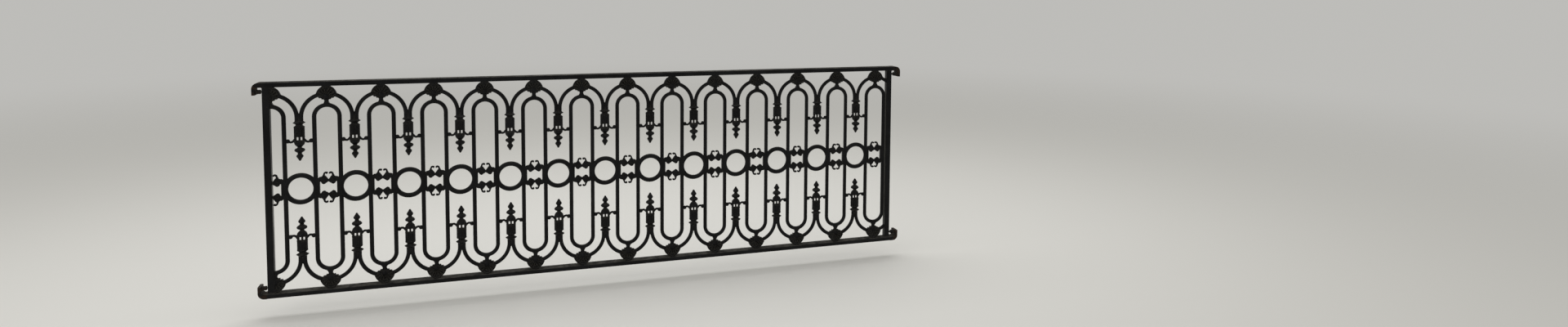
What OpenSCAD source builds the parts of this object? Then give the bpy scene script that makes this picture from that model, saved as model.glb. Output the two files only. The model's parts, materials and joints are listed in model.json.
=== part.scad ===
// Iron balcony railing that stands between two walls.
// Looped bars carry rings, pendants, finials and scrolls between two flat rails.
// X runs along the railing from the left wall, -Y is the street side, Z is up.

/* [Panel] */
// Number of bays between the two posts
bays = 13; // [6:1:13]
// Distance from one ring's centre to the next
pitch = 213; // [200:1:240]
// Clear height between the two rails
clear_h = 878; // [840:2:1000]

/* [Bars] */
// Diameter of the looped bars
bar_d = 17.5; // [14:0.5:20]
// Distance between the two bars of a loop, centre to centre
loop_w = 97.6; // [92:0.2:104]
// Diameter of the outer arches
arch_d = 17; // [13:0.5:19]
// Thickness of the rings
ring_d = 20.4; // [17.6:0.2:22]

/* [Ornaments] */
// Height of the bosses between the arches and the rails
boss_rise = 26; // [22:1:34]
// Depth of the bosses, front to back
boss_t = 30; // [24:1:40]
// Distance that the pads stand into the loops
pad_rise = 6.7; // [5:0.1:10]
// Length of a pendant or finial
pendant_h = 169.5; // [150:0.5:190]
// Width of a pendant's reeded body
bell_d = 42.5; // [36:0.5:48]
// Distance from a pendant's collar to the centre of the arches
collar_drop = 16.5; // [14:0.5:24]
// Thickness of a pendant's side arms
arm_d = 9.5; // [6:0.5:11]
// Diameter of the balls at the arms' ends
ball_d = 18; // [14:0.5:20]

/* [Rails] */
// Depth of both rails, front to back
rail_w = 50; // [44:1:60]
// Thickness of the top rail
top_t = 20; // [16:1:24]
// Thickness of the bottom rail
bottom_t = 18; // [15:1:22]
// Rounding of the rails' long edges
rail_edge = 3; // [1:0.5:5]

/* [Ends] */
// Side of the square posts
post_w = 27; // [20:1:30]
// Space from the left wall to the left post
left_gap = 35; // [32:0.5:60]
// Space from the right post to the right wall
right_gap = 42.5; // [32:0.5:60]
// Distance from the last loop's centre to the right post
last_gap = 60.5; // [60:0.5:70]
// Thickness of the bent ends where they lie on the wall
tab_t = 12; // [9:0.5:14]
// Height of the bent ends
tab_h = 52; // [48:1:64]
// Distance from a bolt hole to the tip of its bent end
bolt_inset = 12; // [11:0.5:16]
// Diameter of the bolt holes
bolt_d = 11; // [9:0.5:13]

/* [Hidden] */
$fn = 48;
iron = "#1d1e20";
old_iron = "#26241f";

// Heights: zero is on the lower left bent end, just below its bolt hole.
bend_out = tab_h * 0.48;
bend_in = tab_h * 0.19;
zero_up = tab_h - bolt_inset - bolt_d / 2 - 4.5;
bottom_face = bottom_t - zero_up;
mid_z = bottom_face + clear_h / 2;
top_face = bottom_face + clear_h;

// Stations along X.
post_1 = left_gap;
loop_0 = left_gap + post_w;
loop_n = loop_0 + bays * pitch;
post_2 = loop_n + last_gap;
rail_end = post_2 + post_w;
wall_2 = rail_end + right_gap;

// A half loop, measured from the loop's centre plane and the panel's mid height.
bar_x = loop_w / 2;
ring_r = (pitch - loop_w) / 2;
stem_lap = arch_d / 50;
arch_r = pitch / 2 - arch_d / 2 + stem_lap;
arch_sweep = 68;
rail_z = clear_h / 2;
arc_z = rail_z - boss_rise - arch_d / 2 - arch_r;
crown_top = arc_z + bar_x + bar_d / 2;
collar_z = arc_z - collar_drop;

// A boss is drawn for a fan of 40 mm and a scroll for a half loop of 48.8 mm, then scaled.
boss_k = (boss_rise + arch_d) / 42;
fan_z = rail_z - 44 * boss_k;
foot_r = 17.5 * boss_k;
foot_h = 5 * boss_k;
scroll_k = bar_x / 48.8;
pad_face = bar_x - bar_d / 2 - pad_rise;
pad_z = 34 * scroll_k;

// A pendant is drawn 169.5 mm long and 41 mm wide, then stretched to its named sizes.
drop_w = bell_d / 41;
drop_h = pendant_h / 169.5;
reed_r = bell_d / 10;
band_r = 22 * drop_w;
ball_x = ring_r - bar_d / 2 - ball_d / 4;
arm_out = 218;
arm_in = 298;
arm_rise = arm_in - 270;
arm_tail = ball_d / 3;
arm_r = (ball_x - arm_tail * cos(arm_rise) - band_r) / (cos(arm_in) - cos(arm_out));
arm_z = arm_r - 88.7 * drop_h;

function tag(i) = i < 10 ? str("0", i) : str(i);
function bay_x(i) = loop_0 + (i - 0.5) * pitch;
function drop(p) = [for (q = p) [q[0] * drop_w, q[1] * drop_h]];

// Turns a flat drawing up into the plane of the railing, with depth t.
module upright(t) {
    rotate([90, 0, 0]) linear_extrude(height = t, center = true) children();
}

// Part of a round bar bent about the origin, from one angle through a sweep.
module bent_bar(r, d, from, sweep) {
    rotate([0, -from, 0]) rotate([90, 0, 0]) rotate_extrude(angle = sweep)
        translate([r, 0]) circle(d = d);
}

// Half of a turned form, on the +X side of its axis.
module half_turn() {
    rotate([0, 0, -90]) rotate_extrude(angle = 180) children();
}

module rounded(w, h, r) {
    square([w - 2 * r, h], center = true);
    square([w, h - 2 * r], center = true);
    for (x = [-1, 1], y = [-1, 1])
        translate([x * (w / 2 - r), y * (h / 2 - r)]) circle(r = r);
}

// Rails
module rail(z, t) {
    translate([post_1, 0, z + t / 2]) rotate([90, 0, 90])
        linear_extrude(height = rail_end - post_1) rounded(rail_w, t, rail_edge);
}

module top_rail() {
    color(iron) rail(top_face, top_t);
}

module bottom_rail() {
    color(iron) rail(bottom_face - bottom_t, bottom_t);
}

// A bent end in side view: the stub lies along X, the tab stands against the wall at x = 0.
module bent_side(len, t) {
    difference() {
        union() {
            translate([bend_out, 0]) square([len - bend_out, t]);
            translate([0, bend_out]) square([tab_t, tab_h - bend_out]);
            intersection() {
                translate([bend_out, bend_out]) circle(r = bend_out);
                square([bend_out, bend_out]);
            }
        }
        translate([tab_t + bend_in, t + bend_in]) circle(r = bend_in);
        translate([tab_t + bend_in, t]) square([tab_h, tab_h]);
        translate([tab_t, t + bend_in]) square([tab_h, tab_h]);
    }
}

module bent_end(len, t) {
    difference() {
        upright(rail_w) bent_side(len, t);
        translate([-1, 0, tab_h - bolt_inset]) rotate([0, 90, 0])
            cylinder(d = bolt_d, h = tab_t + 2);
    }
}

module wall_ends() {
    color(old_iron) {
        translate([0, 0, -zero_up]) bent_end(left_gap, bottom_t);
        translate([0, 0, top_face + top_t]) mirror([0, 0, 1]) bent_end(left_gap, top_t);
        translate([wall_2, 0, -zero_up]) mirror([1, 0, 0]) bent_end(right_gap, bottom_t);
        translate([wall_2, 0, top_face + top_t]) mirror([1, 0, 0]) mirror([0, 0, 1])
            bent_end(right_gap, top_t);
    }
}

// Posts
module post(x) {
    translate([x + post_w / 2, 0, bottom_face])
        linear_extrude(height = clear_h) rounded(post_w, post_w, post_w / 12);
}

module left_post() {
    color(iron) post(post_1);
}

module right_post() {
    color(iron) post(post_2);
}

// Castings
// One leaf of the fan: a blunt outline, creased along its middle to the front and the back.
module leaf(a, len, d) {
    rotate([0, a, 0]) intersection() {
        upright(boss_t) polygon([[-d / 4, 0], [d / 4, 0], [d / 2, len - 4], [d / 4, len],
            [-d / 4, len], [-d / 2, len - 4]]);
        linear_extrude(height = len) polygon([[-d * 0.56, 0], [0, -boss_t * 0.38],
            [d * 0.56, 0], [0, boss_t * 0.38]]);
    }
}

module half_fan() {
    intersection() {
        union() {
            for (a = [0:24:72]) leaf(a, 40, 15);
            leaf(100, 29, 11);
            leaf(126, 21, 10);
            upright(7) polygon([[0, 37], [8, 37], [21.7, 30], [32.2, 19.5], [38, 6], [38, -4],
                [26, -4], [19, -9], [13, -12], [9, -17], [0, -17]]);
            sphere(d = boss_t);
        }
        translate([0, -boss_t, -30]) cube([60, boss_t * 2, 74 - foot_h / boss_k]);
    }
}

// Half a boss: a fan of leaves between the arches and the rail, on a neck.
module boss_half() {
    translate([0, 0, crown_top - bar_d / 2])
        half_turn() square([8.5 * boss_k, fan_z - crown_top + bar_d / 2]);
    translate([0, 0, crown_top]) upright(bar_d * 0.84)
        polygon([[0, -9], [20, -9], [10, 1], [8, 7], [0, 7]] * boss_k);
    translate([0, 0, fan_z]) scale(boss_k) half_fan();
    translate([0, 0, rail_z - foot_h]) half_turn() square([foot_r, foot_h]);
    translate([0, 0, rail_z - foot_h * 3]) half_turn() square([foot_r * 0.7, foot_h * 3]);
}

// Half a scroll: a drop-shaped volute under a curved leaf, webs to the pad and to the
// other half, and a hook with a bead. Every web edge points at the volute's centre.
module scroll_half() {
    scale(scroll_k) translate([18, 0, 29]) {
        bent_bar(8.3, 8.8, 0, 360);
        rotate([90, 0, 0]) cylinder(d = 9.5, h = 11, center = true);
        bent_bar(17, 8, 42, 64);
        upright(7) {
            circle(r = 8);
            polygon([[0, 0], [-3.3, 22.5], [-7, 21], [-18, 5.5], [-18, -3.5], [-9, -10]]);
            polygon([[0, 0], [-8, -10], [-6, -12.6], [0.5, -15], [7, -12], [8.5, -10]]);
            polygon([[0, 0], [26, -8], [26, 11], [14, 18]]);
            polygon([[0, 0], [5.5, 22], [2, 28], [-5, 28]]);
            intersection() {
                circle(r = 17);
                polygon([[0, 0], [22, 19.8], [0, 26], [-7.2, 25]]);
            }
            translate([-8.5, 28]) intersection() {
                difference() {
                    circle(r = 10.5);
                    circle(r = 3.6);
                }
                polygon([[0, 0], [16, 0], [16, 16], [-9, 15.5]]);
            }
        }
        translate([-11.7, 0, 33.6]) rotate([90, 0, 0]) cylinder(d = 8.6, h = 9, center = true);
    }
}

module quarter() {
    translate([0, 0, arc_z]) {
        bent_bar(bar_x, bar_d, 0, 90);
        bent_bar(arch_r, arch_d, 0, arch_sweep);
        rotate([0, -arch_sweep, 0]) translate([arch_r, 0, 0]) sphere(d = arch_d);
    }
    translate([arch_r, 0, collar_z]) cylinder(d = arch_d, h = arc_z - collar_z);
    boss_half();
    scroll_half();
}

// Everything of one bay from a loop's centre plane to the stem of the arches.
module half_bay() {
    translate([bar_x, 0, -arc_z]) cylinder(d = bar_d, h = 2 * arc_z);
    upright(bar_d * 0.8) polygon([[bar_x, -pad_z - 2 * pad_rise], [pad_face, -pad_z],
        [pad_face, pad_z], [bar_x, pad_z + 2 * pad_rise]]);
    quarter();
    mirror([0, 0, 1]) quarter();
}

module casting() {
    translate([-pitch / 2, 0, 0]) half_bay();
    translate([pitch / 2, 0, 0]) mirror([1, 0, 0]) half_bay();
    rotate([90, 0, 0]) rotate_extrude() translate([ring_r, 0]) circle(d = ring_d);
    for (s = [0, 1]) mirror([0, 0, s]) upright(arch_d * 0.6)
        polygon([[-arch_d / 2, collar_z], [arch_d / 2, collar_z], [arch_d / 2, arc_z],
            [arch_d / 8, arc_z + arch_d], [-arch_d / 8, arc_z + arch_d], [-arch_d / 2, arc_z]]);
}

module bay_casting(i) {
    color(iron) translate([bay_x(i), 0, mid_z]) casting();
}

module end_casting() {
    color(iron) translate([loop_n, 0, mid_z]) intersection() {
        half_bay();
        translate([0, -rail_w / 2, -rail_z]) cube([last_gap, rail_w, clear_h]);
    }
}

// A pendant hangs from z = 0, the underside of the arches' stem.
// An arm leaves the outer rod, dips and rises to a ball that rests on the loop's bar.
module arm() {
    translate([band_r - arm_r * cos(arm_out), 0, arm_z]) {
        bent_bar(arm_r, arm_d, arm_out, arm_in - arm_out);
        rotate([0, -arm_out, 0]) translate([arm_r, 0, -arm_d]) cylinder(d = arm_d, h = arm_d);
        rotate([0, -arm_in, 0]) translate([arm_r, 0, 0]) {
            cylinder(d = arm_d, h = arm_tail);
            translate([0, 0, arm_tail]) sphere(d = ball_d);
        }
    }
}

// The reeded body: upright round ribs around a core, over three short rods.
module bell() {
    translate([0, 0, -64 * drop_h]) linear_extrude(height = 37 * drop_h) {
        circle(d = bell_d - reed_r * 1.3);
        for (a = [0:30:330]) rotate(a) translate([bell_d / 2 - reed_r - 0.4, 0]) circle(r = reed_r);
    }
    translate([0, 0, -67.5 * drop_h]) cylinder(d = bell_d, h = 3.5 * drop_h);
    for (s = [-1, 0, 1]) translate([s * 15 * drop_w, 0, -84 * drop_h])
        cylinder(d = (8 + 2 * abs(s)) * drop_w, h = 17 * drop_h);
}

// The slots between the rods open wider to the front and the back, so light comes through.
module splays() {
    for (s = [0, 1]) mirror([0, s, 0]) rotate([90, 0, 90]) linear_extrude(height = 60, center = true)
        polygon(drop([[7, -67.5], [26, -60], [26, -89], [7, -82]]));
}

module hanging() {
    rotate_extrude() polygon(drop([[0, 0], [16.5, 0], [18, -2], [23.5, -6.5], [14, -13],
        [13, -16], [15, -19], [20.5, -23.5], [20.5, -27], [0, -27]]));
    difference() {
        union() {
            bell();
            rotate_extrude() polygon(drop([[0, -82], [21.5, -82], [22.5, -85], [20.5, -88],
                [20, -92], [17.5, -99.5], [13, -105], [8, -110], [9, -114], [16, -117],
                [19.5, -121], [19.5, -125], [16, -129.5], [9, -134], [7.5, -140], [11.5, -144.5],
                [13.5, -148.5], [12, -153], [7.5, -160], [4, -167], [2, -169.5], [0, -169.5]]));
        }
        splays();
        for (a = [45:90:315]) rotate(a) translate([20 * drop_w, 0, -100 * drop_h]) rotate(45)
            cube([7 * drop_w, 7 * drop_w, 26 * drop_h], center = true);
    }
    for (s = [0, 1]) mirror([s, 0, 0]) difference() {
        arm();
        translate([ring_r, 0, -pendant_h]) cylinder(d = bar_d, h = pendant_h);
    }
}

module pendant(i) {
    color(iron) translate([bay_x(i), 0, mid_z + collar_z]) hanging();
}

module finial(i) {
    color(iron) translate([bay_x(i), 0, mid_z - collar_z]) mirror([0, 0, 1]) hanging();
}

top_rail();
bottom_rail();
wall_ends();
left_post();
right_post();
for (i = [1:bays]) bay_casting(i);
end_casting();
for (i = [1:bays]) pendant(i);
for (i = [1:bays]) finial(i);
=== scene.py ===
"""Iron balcony railing: painted castings between two flat rails that are bolted at their ends.

Lengths are in metres and angles in radians, unless a name or a comment says otherwise."""
import bpy
import json
import math
from mathutils import Matrix, Vector


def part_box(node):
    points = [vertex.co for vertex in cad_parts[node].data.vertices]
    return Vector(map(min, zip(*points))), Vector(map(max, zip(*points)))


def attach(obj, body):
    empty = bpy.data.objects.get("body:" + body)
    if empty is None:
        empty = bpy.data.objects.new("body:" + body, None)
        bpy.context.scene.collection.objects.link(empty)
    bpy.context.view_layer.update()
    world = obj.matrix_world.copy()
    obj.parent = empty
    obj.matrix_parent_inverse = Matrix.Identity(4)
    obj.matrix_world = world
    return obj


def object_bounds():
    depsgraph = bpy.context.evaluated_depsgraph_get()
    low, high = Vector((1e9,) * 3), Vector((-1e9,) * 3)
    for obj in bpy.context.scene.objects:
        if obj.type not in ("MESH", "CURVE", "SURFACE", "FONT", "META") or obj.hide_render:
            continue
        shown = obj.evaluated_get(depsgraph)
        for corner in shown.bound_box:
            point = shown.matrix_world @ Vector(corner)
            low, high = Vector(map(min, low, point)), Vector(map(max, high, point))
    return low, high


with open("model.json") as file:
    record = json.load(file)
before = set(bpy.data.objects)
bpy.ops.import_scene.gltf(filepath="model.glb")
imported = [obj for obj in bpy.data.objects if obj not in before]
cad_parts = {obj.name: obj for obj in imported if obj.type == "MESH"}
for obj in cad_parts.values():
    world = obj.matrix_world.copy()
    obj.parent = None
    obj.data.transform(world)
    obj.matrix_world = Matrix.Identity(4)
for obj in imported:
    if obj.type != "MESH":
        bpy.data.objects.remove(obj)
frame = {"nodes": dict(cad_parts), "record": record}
cad_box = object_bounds()
NODES = frame["nodes"]
MOUNTS = {mount["name"]: mount for mount in frame["record"]["mounts"]}
MM = 0.001

# Camera: a wide view from left of the railing's middle and above its top rail
IMAGE_W = 1920
IMAGE_H = 400
EYE = (0.9556, -4.132, 1.331)
TURNED_RIGHT = 0.3213
TILTED_DOWN = 0.0657
ROLLED = 0.0083
FOCAL_PIXELS = 1070.7
AXIS_PIXELS_DOWN = 45.7
SENSOR_MM = 36.0
FARTHEST_SEEN = 60


def make_camera():
    data = bpy.data.cameras.new("wide_view")
    data.sensor_width = SENSOR_MM
    data.lens = FOCAL_PIXELS / IMAGE_W * SENSOR_MM
    data.shift_y = (AXIS_PIXELS_DOWN - IMAGE_H / 2) / IMAGE_W
    data.clip_end = FARTHEST_SEEN
    camera = bpy.data.objects.new("wide_view", data)
    turn = Matrix.Rotation(-TURNED_RIGHT, 4, "Z")
    tilt = Matrix.Rotation(math.pi / 2 - TILTED_DOWN, 4, "X")
    roll = Matrix.Rotation(ROLLED, 4, "Z")
    camera.matrix_world = Matrix.Translation(EYE) @ turn @ tilt @ roll
    bpy.context.scene.collection.objects.link(camera)
    bpy.context.scene.camera = camera


make_camera()


# Tools for materials
def linear(hex_colour):
    """An sRGB colour such as #1b1c1e, as the linear values that a shader takes."""
    channels = [int(hex_colour[i:i + 2], 16) / 255 for i in (1, 3, 5)]
    return (*[c / 12.92 if c <= 0.04045 else ((c + 0.055) / 1.055) ** 2.4 for c in channels], 1)


def add(tree, kind, settings=None, inputs=None, give=0):
    """Adds a node and gives back one of its outputs. Settings are the node's own properties.
    An input takes a value, another node's output, or a list of outputs that it joins."""
    made = tree.nodes.new(kind)
    for name, value in (settings or {}).items():
        setattr(made, name, value)
    for name, value in (inputs or {}).items():
        for source in value if isinstance(value, list) else [value]:
            if isinstance(source, bpy.types.NodeSocket):
                tree.links.new(source, made.inputs[name])
            else:
                made.inputs[name].default_value = source
    return made.outputs[give]


def mottle(tree, place, size_mm, low, high, most=1.0, stretch=(1, 1, 1), detail=3):
    """A soft pattern of patches about size_mm across, from 0 to most, cut between low and high."""
    grid = tuple(1 / (size_mm * MM * s) for s in stretch)
    moved = add(tree, "ShaderNodeMapping", {"vector_type": "POINT"}, {
        "Vector": place, "Scale": grid})
    cloud = add(tree, "ShaderNodeTexNoise", {}, {
        "Vector": moved, "Scale": 1.0, "Detail": detail, "Roughness": 0.55}, give="Fac")
    return add(tree, "ShaderNodeMapRange", {"interpolation_type": "SMOOTHSTEP"}, {
        "Value": cloud, "From Min": low, "From Max": high, "To Max": most})


def weighed(tree, patterns, weights):
    """Three patterns added up, each by its own weight."""
    three = add(tree, "ShaderNodeCombineXYZ", {}, dict(enumerate(patterns)))
    return add(tree, "ShaderNodeVectorMath", {"operation": "DOT_PRODUCT"}, {0: three, 1: weights},
               give="Value")


def end_nearness(tree, place, reach, most):
    """Grows from 0 to most over the last stretch before either end of the railing."""
    width = cad_box[1].x - cad_box[0].x
    x = add(tree, "ShaderNodeSeparateXYZ", {}, {0: place})
    across = add(tree, "ShaderNodeMath", {"operation": "SUBTRACT"}, {
        0: x, 1: cad_box[0].x + width / 2})
    from_middle = add(tree, "ShaderNodeMath", {"operation": "ABSOLUTE"}, {0: across})
    return add(tree, "ShaderNodeMapRange", {"interpolation_type": "SMOOTHSTEP"}, {
        "Value": from_middle, "From Min": width / 2 - reach, "From Max": width / 2,
        "To Max": most})


# Colours of black paint in the open, of what lies on it and breaks through it, and of the light
# painted on its tops and in its hollows
PAINT = "#060607"
PAINT_WORN = "#141517"
GRIME = "#29251f"
# Pale grey of dust, also used as painted reflection on the tops and painted fill light in the
# hollows
DUST_AND_PAINTED_LIGHT = "#7b7871"
RUST_DARK = "#251b13"
RUST = "#4d3928"

# Real sizes of the paint's patterns, and how far rust, dirt and the painted fill light in hollows
# reach
SAG_MM = 22
PATCH_MM = 90
GRIME_MM = 12
DUST_AND_SHEEN_MM = 30
SPECK_MM = 5
SHEET_MM = 14
HOLLOW_MM = 25
END_REACH_MM = 70
# Real brush marks lie under 1 mm apart. They are drawn coarser so that they show.
BRUSH_MM = 1.6

# Paint that has stood in the rain mirrors less than new paint does.
OLD_PAINT_SHINE = 0.15
# How much pale dirt and painted fill light go into the hollows
HOLLOW_DIRT_AND_FILL_LIGHT = 0.5


def painted_iron(name, strokes, grain_mm, grain_depth, sag_depth, dullness, dust_and_sheen, rust, edge_mm,
                 end_rust=0.0):
    """Black paint on iron. strokes stretches the brush marks along the way that the bar was
    painted; grain is the metal's own skin; sag is where the coats pooled; edge_mm is how
    round the paint leaves the edges."""
    material = bpy.data.materials.new(name)
    material.use_nodes = True
    tree = material.node_tree
    shader = tree.nodes["Principled BSDF"]
    place = add(tree, "ShaderNodeTexCoord", give="Object")
    facing = add(tree, "ShaderNodeNewGeometry", give="Normal")
    upward = add(tree, "ShaderNodeSeparateXYZ", {}, {0: facing}, give="Z")

    grain = mottle(tree, place, grain_mm, 0.3, 0.7, detail=4)
    sag = mottle(tree, place, SAG_MM, 0.35, 0.7, detail=2)
    marks = mottle(tree, place, BRUSH_MM, 0.25, 0.75, stretch=strokes)
    patches = mottle(tree, place, PATCH_MM, 0.4, 0.65, most=0.7)

    # Thick paint rounds every edge, and holds grime where it is round.
    rounded = add(tree, "ShaderNodeBevel", {"samples": 4}, {"Radius": edge_mm * MM}, give="Normal")
    alike = add(tree, "ShaderNodeVectorMath", {"operation": "DOT_PRODUCT"}, {
        0: rounded, 1: facing}, give="Value")
    edges = add(tree, "ShaderNodeMapRange", {"interpolation_type": "SMOOTHSTEP"}, {
        "Value": alike, "From Min": 0.995, "From Max": 0.85, "To Max": 0.8})
    grime = add(tree, "ShaderNodeMath", {"operation": "MULTIPLY"}, {
        0: edges, 1: mottle(tree, place, GRIME_MM, 0.35, 0.6, detail=5)})

    # Dust settles on what faces up, and the same pale colour there is also a painted sky reflection
    # on the tops.
    flat_top = add(tree, "ShaderNodeMapRange", {"interpolation_type": "SMOOTHSTEP"}, {
        "Value": upward, "From Min": 0.45, "From Max": 0.98})
    dust_and_painted_sheen_on_top = add(tree, "ShaderNodeMath", {"operation": "MULTIPLY"}, {
        0: flat_top, 1: mottle(tree, place, DUST_AND_SHEEN_MM, 0.2, 0.7, most=dust_and_sheen, detail=6)})

    # Pale dirt stays in the castings' hollows, where rain and cloth don't reach, and the same pale
    # colour there is painted fill light that lifts their shade.
    open_air = add(tree, "ShaderNodeAmbientOcclusion", {"samples": 4}, {
        "Distance": HOLLOW_MM * MM}, give="AO")
    dirt_and_painted_fill_in_hollows = add(tree, "ShaderNodeMapRange", {"interpolation_type": "SMOOTHSTEP"}, {
        "Value": open_air, "From Min": 0.7, "From Max": 0.1, "To Max": HOLLOW_DIRT_AND_FILL_LIGHT})
    dust_dirt_and_painted_light = add(tree, "ShaderNodeMath", {"operation": "MAXIMUM"}, {0: dust_and_painted_sheen_on_top, 1: dirt_and_painted_fill_in_hollows})

    # Rust breaks through in specks, and in sheets towards the railing's ends.
    specks = add(tree, "ShaderNodeMath", {"operation": "MULTIPLY"}, {
        0: mottle(tree, place, SPECK_MM, 0.62, 0.7, most=rust, detail=5), 1: patches})
    sheet = add(tree, "ShaderNodeMath", {"operation": "MULTIPLY"}, {
        0: end_nearness(tree, place, END_REACH_MM * MM, end_rust),
        1: mottle(tree, place, SHEET_MM, 0.4, 0.6, detail=8)})
    bare = add(tree, "ShaderNodeMath", {"operation": "MAXIMUM"}, {0: specks, 1: sheet})

    # A Mix node takes its two colours at 6 and 7, and gives the mixed one at 2.
    black = add(tree, "ShaderNodeMix", {"data_type": "RGBA"}, {
        0: patches, 6: linear(PAINT), 7: linear(PAINT_WORN)}, give=2)
    worn = add(tree, "ShaderNodeMix", {"data_type": "RGBA"}, {
        0: grime, 6: black, 7: linear(GRIME)}, give=2)
    oxide = add(tree, "ShaderNodeMix", {"data_type": "RGBA"}, {
        0: grain, 6: linear(RUST_DARK), 7: linear(RUST)}, give=2)
    rusted = add(tree, "ShaderNodeMix", {"data_type": "RGBA"}, {0: bare, 6: worn, 7: oxide}, give=2)
    # Dust and dirt, painted reflection on the tops and painted fill light in the hollows go over
    # everything else.
    with_dust_and_painted_light = add(tree, "ShaderNodeMix", {"data_type": "RGBA"}, {
        0: dust_dirt_and_painted_light, 6: rusted, 7: linear(DUST_AND_PAINTED_LIGHT)}, give=2)
    tree.links.new(with_dust_and_painted_light, shader.inputs["Base Color"])

    # Rain and sun chalk the paint on what faces up, and chalk has no shine.
    uneven = weighed(tree, (marks, patches, grime), (0.14, 0.14, 0.2))
    chalky = weighed(tree, (flat_top, uneven, dust_dirt_and_painted_light), (0.6, 1.0, 0.5))
    roughness = weighed(tree, (bare, chalky, 1.0), (0.45, 1.0, dullness))
    tree.links.new(roughness, shader.inputs["Roughness"])
    shader.inputs["Specular IOR Level"].default_value = OLD_PAINT_SHINE

    coats = weighed(tree, (grain, sag, marks), (grain_depth, sag_depth, 0.05))
    height = weighed(tree, (coats, bare, dust_dirt_and_painted_light), (1.0, 0.25, 0.06))
    relief = add(tree, "ShaderNodeBump", {}, {
        "Strength": 1.0, "Distance": MM, "Height": height, "Normal": rounded})
    tree.links.new(relief, shader.inputs["Normal"])
    return material


# Gloss paint brushed along flat mild steel bar: long faint strokes and clean reflections
BAR_PAINT = painted_iron(
    "gloss_paint_on_flat_bar", strokes=(30, 1, 1), grain_mm=2.5, grain_depth=0.02,
    sag_depth=0.25, dullness=0.22, dust_and_sheen=0.35, rust=0.5, edge_mm=0.8, end_rust=0.12)

# The same paint on square upright bar, brushed up and down
POST_PAINT = painted_iron(
    "gloss_paint_on_square_bar", strokes=(1, 1, 30), grain_mm=2.5, grain_depth=0.02,
    sag_depth=0.25, dullness=0.22, dust_and_sheen=0.4, rust=0.5, edge_mm=0.8)

# Many coats on sand-cast iron: a lumpy skin, blunt edges and a duller shine
CAST_PAINT = painted_iron(
    "thick_paint_on_sand_cast_iron", strokes=(1, 1, 8), grain_mm=2.0, grain_depth=0.12,
    sag_depth=0.45, dullness=0.28, dust_and_sheen=0.15, rust=0.6, edge_mm=1.4)

# Old paint on the bent ends, where rain lies longest: dark rust in sheets, little shine left
END_PAINT = painted_iron(
    "flaked_paint_on_bent_bar", strokes=(4, 1, 4), grain_mm=2.2, grain_depth=0.18,
    sag_depth=0.4, dullness=0.4, dust_and_sheen=0.35, rust=0.8, edge_mm=1.2, end_rust=0.6)

# Painted steel nuts and washers, rusting at the thread
NUT_PAINT = painted_iron(
    "rusting_painted_nut", strokes=(1, 1, 1), grain_mm=1.8, grain_depth=0.12,
    sag_depth=0.3, dullness=0.3, dust_and_sheen=0.3, rust=0.8, edge_mm=0.4, end_rust=0.4)


def dress(names, material):
    for name in names:
        slots = NODES[name].data.materials
        for i in range(len(slots)):
            slots[i] = material


dress([n for n in NODES if n.endswith("_rail")], BAR_PAINT)
dress([n for n in NODES if n.endswith("_post")], POST_PAINT)
dress(["wall_ends"], END_PAINT)
dress([n for n in NODES if "casting" in n or n.startswith(("pendant", "finial"))], CAST_PAINT)


# Tools for pieces made by Geometry Nodes
def new_tree(name, sizes):
    """A tree for a new mesh, with named sizes in millimetres as its inputs."""
    tree = bpy.data.node_groups.new(name, "GeometryNodeTree")
    tree.interface.new_socket("Geometry", in_out="INPUT", socket_type="NodeSocketGeometry")
    for label, value in sizes.items():
        socket = tree.interface.new_socket(label, in_out="INPUT", socket_type="NodeSocketFloat")
        socket.default_value = value
    tree.interface.new_socket("Geometry", in_out="OUTPUT", socket_type="NodeSocketGeometry")
    return tree, tree.nodes.new("NodeGroupInput").outputs, tree.nodes.new("NodeGroupOutput").inputs


def grow(name, tree, sizes, points, edges=()):
    """Runs a tree on a few points and keeps the result as a plain mesh riding on the root."""
    seed = bpy.data.meshes.new(name + "_seed")
    seed.from_pydata(points, edges, [])
    maker = bpy.data.objects.new(name + "_maker", seed)
    bpy.context.scene.collection.objects.link(maker)
    modifier = maker.modifiers.new("grow", "NODES")
    modifier.node_group = tree
    for item in tree.interface.items_tree:
        if item.in_out == "INPUT" and item.name in sizes:
            modifier[item.identifier] = float(sizes[item.name])
    evaluated = maker.evaluated_get(bpy.context.evaluated_depsgraph_get())
    mesh = bpy.data.meshes.new_from_object(evaluated)
    mesh.name = name
    bpy.data.objects.remove(maker)
    piece = bpy.data.objects.new(name, mesh)
    bpy.context.scene.collection.objects.link(piece)
    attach(piece, "root")
    return piece


# Fixings: a washer, a nut, a lock nut and the stud's threaded end at each bolt hole
FIXING_MM = {"Across flats": 18.0, "Nut height": 8.0, "Chamfer circle": 17.2,
             "Washer width": 22.0, "Washer thickness": 2.0, "Stud width": 10.0,
             "Stud end": 3.0, "Thread pitch": 1.5}
# The thread's root, as a share of the stud's width
THREAD_ROOT = 0.86
# The lock nut stopped a fifth of a turn further round than the nut under it.
LOCK_NUT_TURN = 0.4 * math.pi
# Which way the studs point, and how much of each shows past its lock nut
STUDS = {"left": {"Quarter turns": 1.0, "Stud end": 1.5},
         "right": {"Quarter turns": -1.0, "Stud end": 8.0}}


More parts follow.
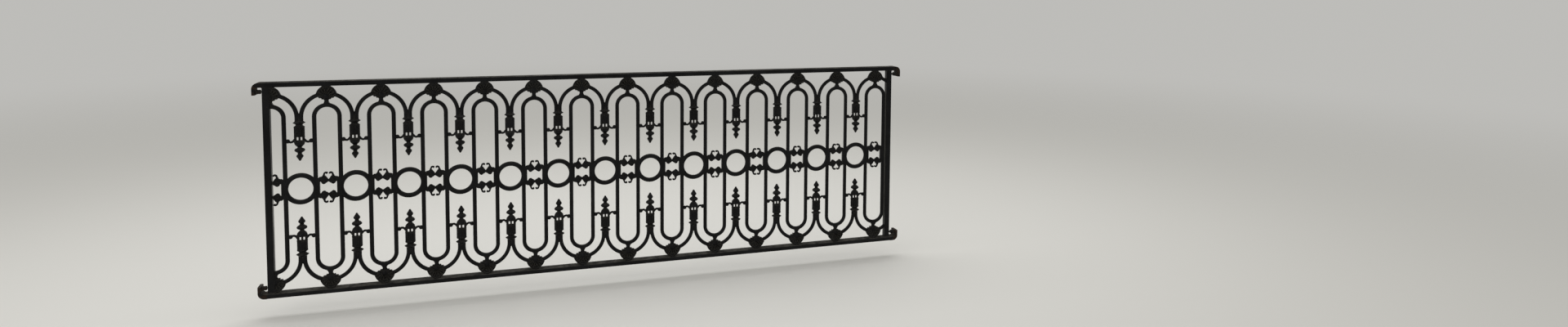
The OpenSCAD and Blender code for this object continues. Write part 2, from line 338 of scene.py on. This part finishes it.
def fixing_tree():
    tree, size, result = new_tree("end_fixing", {**FIXING_MM, "Quarter turns": 1.0})
    halves = add(tree, "ShaderNodeVectorMath", {"operation": "SCALE"}, {
        0: add(tree, "ShaderNodeCombineXYZ", {}, {
            0: size["Washer width"], 1: size["Stud width"], 2: size["Nut height"]}),
        "Scale": 0.5})
    radii = tree.nodes.new("ShaderNodeSeparateXYZ")
    tree.links.new(halves, radii.inputs[0])
    washer_r, stud_r, half_nut = radii.outputs
    root_r = add(tree, "ShaderNodeMath", {"operation": "MULTIPLY"}, {0: stud_r, 1: THREAD_ROOT})
    corner = add(tree, "ShaderNodeMath", {"operation": "DIVIDE"}, {
        0: size["Across flats"], 1: 2 * math.cos(math.pi / 6)})
    washer = add(tree, "GeometryNodeMeshCylinder", {}, {
        "Vertices": 48, "Radius": washer_r, "Depth": size["Washer thickness"]})
    hexagon = add(tree, "GeometryNodeMeshCylinder", {}, {
        "Vertices": 6, "Radius": corner, "Depth": size["Nut height"]})
    # The nut is the part of the hexagon that lies inside a ball through the chamfer circle.
    ring_r = add(tree, "ShaderNodeMath", {"operation": "MULTIPLY"}, {
        0: size["Chamfer circle"], 1: 0.5})
    reach = add(tree, "ShaderNodeVectorMath", {"operation": "LENGTH"}, {
        0: add(tree, "ShaderNodeCombineXYZ", {}, {0: ring_r, 1: half_nut})}, give="Value")
    ball = add(tree, "GeometryNodeMeshUVSphere", {}, {"Segments": 48, "Rings": 32, "Radius": reach})
    nut = add(tree, "GeometryNodeMeshBoolean", {"operation": "INTERSECT"}, {
        "Mesh 2": [hexagon, ball]})
    nut_middle = add(tree, "ShaderNodeMath", {"operation": "ADD"}, {
        0: size["Washer thickness"], 1: half_nut})
    lock_nut_top = add(tree, "ShaderNodeMath", {"operation": "MULTIPLY_ADD"}, {
        0: size["Nut height"], 1: 2.0, 2: size["Washer thickness"]})
    core_h = add(tree, "ShaderNodeMath", {"operation": "ADD"}, {
        0: lock_nut_top, 1: size["Stud end"]})
    two_seats = add(tree, "GeometryNodeMeshLine", {}, {
        "Count": 2, "Start Location": add(tree, "ShaderNodeCombineXYZ", {}, {2: nut_middle}),
        "Offset": add(tree, "ShaderNodeCombineXYZ", {}, {2: size["Nut height"]})})
    further = add(tree, "ShaderNodeMath", {"operation": "MULTIPLY"}, {
        0: add(tree, "GeometryNodeInputIndex"), 1: LOCK_NUT_TURN})
    nuts = add(tree, "GeometryNodeInstanceOnPoints", {}, {
        "Points": two_seats, "Instance": nut,
        "Rotation": add(tree, "ShaderNodeCombineXYZ", {}, {2: further})})
    core = add(tree, "GeometryNodeMeshCone", {}, {
        "Vertices": 32, "Radius Bottom": root_r, "Radius Top": root_r, "Depth": core_h})
    # Each turn of the thread is a ring with two sloping sides.
    half_pitch = add(tree, "ShaderNodeMath", {"operation": "MULTIPLY"}, {
        0: size["Thread pitch"], 1: 0.5})
    upper = add(tree, "GeometryNodeMeshCone", {}, {
        "Vertices": 32, "Radius Bottom": stud_r, "Radius Top": root_r, "Depth": half_pitch})
    lower = add(tree, "GeometryNodeTransform", {}, {
        "Geometry": upper, "Rotation": (math.pi, 0, 0)})
    turn_of_thread = add(tree, "GeometryNodeJoinGeometry", {}, {"Geometry": [upper, lower]})
    turns = add(tree, "ShaderNodeMath", {"operation": "DIVIDE"}, {
        0: size["Stud end"], 1: size["Thread pitch"]})
    along = add(tree, "GeometryNodeMeshLine", {}, {
        "Count": add(tree, "ShaderNodeMath", {"operation": "FLOOR"}, {0: turns}),
        "Start Location": add(tree, "ShaderNodeCombineXYZ", {}, {2: lock_nut_top}),
        "Offset": add(tree, "ShaderNodeCombineXYZ", {}, {2: size["Thread pitch"]})})
    thread = add(tree, "GeometryNodeInstanceOnPoints", {}, {
        "Points": along, "Instance": turn_of_thread})
    whole = add(tree, "GeometryNodeJoinGeometry", {}, {"Geometry": [washer, nuts, core, thread]})
    turn = add(tree, "ShaderNodeMath", {"operation": "MULTIPLY"}, {
        0: size["Quarter turns"], 1: math.pi / 2})
    lying = add(tree, "GeometryNodeTransform", {}, {
        "Geometry": whole, "Scale": (MM, MM, MM),
        "Rotation": add(tree, "ShaderNodeCombineXYZ", {}, {1: turn})})
    placed = add(tree, "GeometryNodeInstanceOnPoints", {}, {
        "Points": size["Geometry"], "Instance": lying})
    # A Random Value node takes its least and greatest number at 2 and 3, and gives it at 1.
    spin = add(tree, "FunctionNodeRandomValue", {"data_type": "FLOAT"}, {
        2: 0.0, 3: math.pi / 3, "Seed": 5}, give=1)
    spun = add(tree, "GeometryNodeRotateInstances", {}, {
        "Instances": placed, "Rotation": add(tree, "ShaderNodeCombineXYZ", {}, {0: spin})})
    real = add(tree, "GeometryNodeRealizeInstances", {}, {"Geometry": spun})
    painted = add(tree, "GeometryNodeSetMaterial", {}, {"Geometry": real, "Material": NUT_PAINT})
    tree.links.new(painted, result[0])
    return tree


def end_fixings():
    tree = fixing_tree()
    for side, sizes in STUDS.items():
        seats = []
        for level in ("bottom", "top"):
            hole = MOUNTS[f"bolt_hole_{level}_{side}"]
            to_inner_face = -Vector(hole["axis"]) * hole["dims"]["length_mm"] * MM / 2
            seats.append(Vector(hole["pos_m"]) + to_inner_face)
        piece = grow(f"wall_nuts_{side}", tree, sizes, seats)


end_fixings()


# Rims of the bosses: a rounded border joins the leaves' tips, and a lobe lies beside the neck
RIM_MM = {"Rim radius": 41.0, "Rim thickness": 8.0, "Depth": 25.0, "Lobe from middle": 17.0,
          "Lobe past centre": 3.5, "Lobe length": 25.0, "Lobe height": 13.0}
# From the rail's face to the middle of a boss's fan of leaves
FAN_TO_RAIL_MM = 45
# The rim starts beside the boss's foot and ends at the arch, as the leaves do.
RIM_START = math.radians(14)
RIM_SWEEP = math.radians(78)
RIM_NARROWED = 0.92


def rim_tree():
    tree, size, result = new_tree("boss_rim", {**RIM_MM, "Half turns": 0.0})
    arc = add(tree, "GeometryNodeCurveArc", {"mode": "RADIUS"}, {
        "Resolution": 13, "Radius": size["Rim radius"],
        "Start Angle": RIM_START, "Sweep Angle": RIM_SWEEP})
    flat = add(tree, "GeometryNodeSetCurveNormal", {"mode": "Z_UP"}, {"Curve": arc})
    ring = add(tree, "GeometryNodeCurvePrimitiveCircle", {}, {"Resolution": 10, "Radius": 0.5})
    oval = add(tree, "GeometryNodeTransform", {}, {
        "Geometry": ring, "Scale": add(tree, "ShaderNodeCombineXYZ", {}, {
            0: size["Rim thickness"], 1: size["Depth"], 2: 1.0})})
    rim = add(tree, "GeometryNodeCurveToMesh", {}, {
        "Curve": flat, "Profile Curve": oval, "Fill Caps": True})
    upright = add(tree, "GeometryNodeTransform", {}, {
        "Geometry": rim, "Rotation": (math.pi / 2, 0, 0), "Scale": (RIM_NARROWED, 1, 1)})
    ball = add(tree, "GeometryNodeMeshUVSphere", {}, {"Segments": 10, "Rings": 7, "Radius": 0.5})
    below = add(tree, "ShaderNodeMath", {"operation": "MULTIPLY"}, {
        0: size["Lobe past centre"], 1: -1.0})
    lobe = add(tree, "GeometryNodeTransform", {}, {
        "Geometry": ball, "Scale": add(tree, "ShaderNodeCombineXYZ", {}, {
            0: size["Lobe length"], 1: size["Depth"], 2: size["Lobe height"]}),
        "Translation": add(tree, "ShaderNodeCombineXYZ", {}, {
            0: size["Lobe from middle"], 2: below})})
    smooth = add(tree, "GeometryNodeSetShadeSmooth", {}, {
        "Geometry": add(tree, "GeometryNodeJoinGeometry", {}, {"Geometry": [upright, lobe]})})
    half = add(tree, "GeometryNodeTransform", {}, {"Geometry": smooth, "Scale": (MM, MM, MM)})
    # A boss on the bottom rail is turned over.
    height = add(tree, "ShaderNodeSeparateXYZ", {}, {0: add(tree, "GeometryNodeInputPosition")},
                 give="Z")
    lower = add(tree, "ShaderNodeMath", {"operation": "LESS_THAN"}, {
        0: height, 1: (cad_box[0].z + cad_box[1].z) / 2})
    over = add(tree, "ShaderNodeMath", {"operation": "MULTIPLY"}, {0: lower, 1: math.pi})
    turn = add(tree, "ShaderNodeMath", {"operation": "MULTIPLY"}, {
        0: size["Half turns"], 1: math.pi})
    placed = add(tree, "GeometryNodeInstanceOnPoints", {}, {
        "Points": size["Geometry"], "Instance": half,
        "Rotation": add(tree, "ShaderNodeCombineXYZ", {}, {0: over, 2: turn})})
    real = add(tree, "GeometryNodeRealizeInstances", {}, {"Geometry": placed})
    painted = add(tree, "GeometryNodeSetMaterial", {}, {"Geometry": real, "Material": CAST_PAINT})
    tree.links.new(painted, result[0])
    return tree


def boss_rims():
    """Half a rim on each side of every boss. The first boss has no left half, as its casting
    has none."""
    tree = rim_tree()
    bays = [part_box(name) for name in sorted(NODES) if name.startswith("bay_casting")]
    bosses_x = [bays[0][0].x] + [high.x for low, high in bays]
    bosses_z = (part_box("bottom_rail")[1].z + FAN_TO_RAIL_MM * MM,
                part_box("top_rail")[0].z - FAN_TO_RAIL_MM * MM)
    for side, half_turns, places in (("right", 0.0, bosses_x), ("left", 1.0, bosses_x[1:])):
        seats = [(x, 0, z) for x in places for z in bosses_z]
        piece = grow(f"boss_rims_{side}", tree, {"Half turns": half_turns}, seats)


boss_rims()


# Welds round the posts' ends: a rippled bead in each corner between post and rail
WELD_MM = {"Bead radius": 3.0, "Ripple length": 1.5}
# The ripple is a share of the bead's radius.
RIPPLE = 0.7
LUMPS_PER_METRE = 420.0


def weld_tree():
    tree, size, result = new_tree("weld_bead", WELD_MM)
    path = add(tree, "GeometryNodeMeshToCurve", {}, {"Mesh": size["Geometry"]})
    step = add(tree, "ShaderNodeMath", {"operation": "MULTIPLY"}, {0: size["Ripple length"], 1: MM})
    even = add(tree, "GeometryNodeResampleCurve", {"mode": "LENGTH"}, {
        "Curve": path, "Length": step})
    lumps = add(tree, "ShaderNodeTexNoise", {}, {"Scale": LUMPS_PER_METRE, "Detail": 2.0})
    # The noise lies near a half, so the ripple moves the bead's radius about its given size.
    ripple = add(tree, "ShaderNodeMath", {"operation": "MULTIPLY_ADD"}, {
        0: lumps, 1: RIPPLE, 2: 1 - RIPPLE / 2})
    metres = add(tree, "ShaderNodeMath", {"operation": "MULTIPLY"}, {
        0: size["Bead radius"], 1: MM})
    thick = add(tree, "ShaderNodeMath", {"operation": "MULTIPLY"}, {0: ripple, 1: metres})
    ring = add(tree, "GeometryNodeCurvePrimitiveCircle", {}, {"Resolution": 8, "Radius": 1.0})
    bead = add(tree, "GeometryNodeCurveToMesh", {}, {
        "Curve": even, "Profile Curve": ring, "Scale": thick})
    smooth = add(tree, "GeometryNodeSetShadeSmooth", {}, {"Geometry": bead})
    real = add(tree, "GeometryNodeRealizeInstances", {}, {"Geometry": smooth})
    painted = add(tree, "GeometryNodeSetMaterial", {}, {"Geometry": real, "Material": POST_PAINT})
    tree.links.new(painted, result[0])
    return tree


def post_welds():
    points, edges = [], []
    for post in ("left_post", "right_post"):
        low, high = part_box(post)
        for level in (low.z, high.z):
            first = len(points)
            points += [(x, y, level) for x, y in ((low.x, low.y), (high.x, low.y),
                                                  (high.x, high.y), (low.x, high.y))]
            edges += [(first + i, first + (i + 1) % 4) for i in range(4)]
    piece = grow("post_welds", weld_tree(), {}, points, edges)


post_welds()


# Floor and light
PALE = "#e4e3df"
ROOM_LIGHT = 0.66
FLOOR_DROP = 0.09
FLOOR_RADIUS = 30
FADE_STARTS = 3.0
FADE_ENDS = 12.0
LIT_POINT = Vector((1.5, 0, 0.4))
# Each lamp's place, its width and height, and its watts
LAMPS = {"overhead": ((1.5, 0.6, 3.6), (6.0, 2.6), 80),
         "left_front": ((-3.2, -4.5, 3.2), (3.0, 3.0), 40)}


def pale_floor():
    bpy.ops.mesh.primitive_circle_add(
        vertices=128, radius=FLOOR_RADIUS, fill_type="NGON",
        location=(cad_box[1].x / 2, 0, cad_box[0].z - FLOOR_DROP))
    floor = bpy.context.object
    floor.name = "pale_floor"
    material = bpy.data.materials.new("matt_pale_floor")
    material.use_nodes = True
    tree = material.node_tree
    shader = tree.nodes["Principled BSDF"]
    shader.inputs["Base Color"].default_value = linear(PALE)
    shader.inputs["Roughness"].default_value = 0.9
    # Far from the railing the floor turns into the room's own pale tone.
    place = add(tree, "ShaderNodeTexCoord", give="Object")
    distance = add(tree, "ShaderNodeVectorMath", {"operation": "LENGTH"}, {0: place}, give="Value")
    far = add(tree, "ShaderNodeMapRange", {"interpolation_type": "SMOOTHSTEP"}, {
        "Value": distance, "From Min": FADE_STARTS, "From Max": FADE_ENDS})
    room = add(tree, "ShaderNodeEmission", {}, {"Color": linear(PALE), "Strength": ROOM_LIGHT})
    joined = add(tree, "ShaderNodeMixShader", {}, {0: far, 1: shader.outputs[0], 2: room})
    tree.links.new(joined, tree.nodes["Material Output"].inputs["Surface"])
    floor.data.materials.append(material)


def soft_light():
    world = bpy.data.worlds.new("studio")
    bpy.context.scene.world = world
    world.use_nodes = True
    room = world.node_tree.nodes["Background"]
    room.inputs["Color"].default_value = linear(PALE)
    room.inputs["Strength"].default_value = ROOM_LIGHT
    for name, (spot, size, watts) in LAMPS.items():
        lamp = bpy.data.lights.new(name, "AREA")
        lamp.shape = "RECTANGLE"
        lamp.size, lamp.size_y = size
        lamp.energy = watts
        light = bpy.data.objects.new(name, lamp)
        light.location = spot
        light.rotation_euler = (LIT_POINT - light.location).to_track_quat("-Z", "Y").to_euler()
        bpy.context.scene.collection.objects.link(light)


pale_floor()
soft_light()
bpy.context.scene.view_settings.view_transform = "Standard"
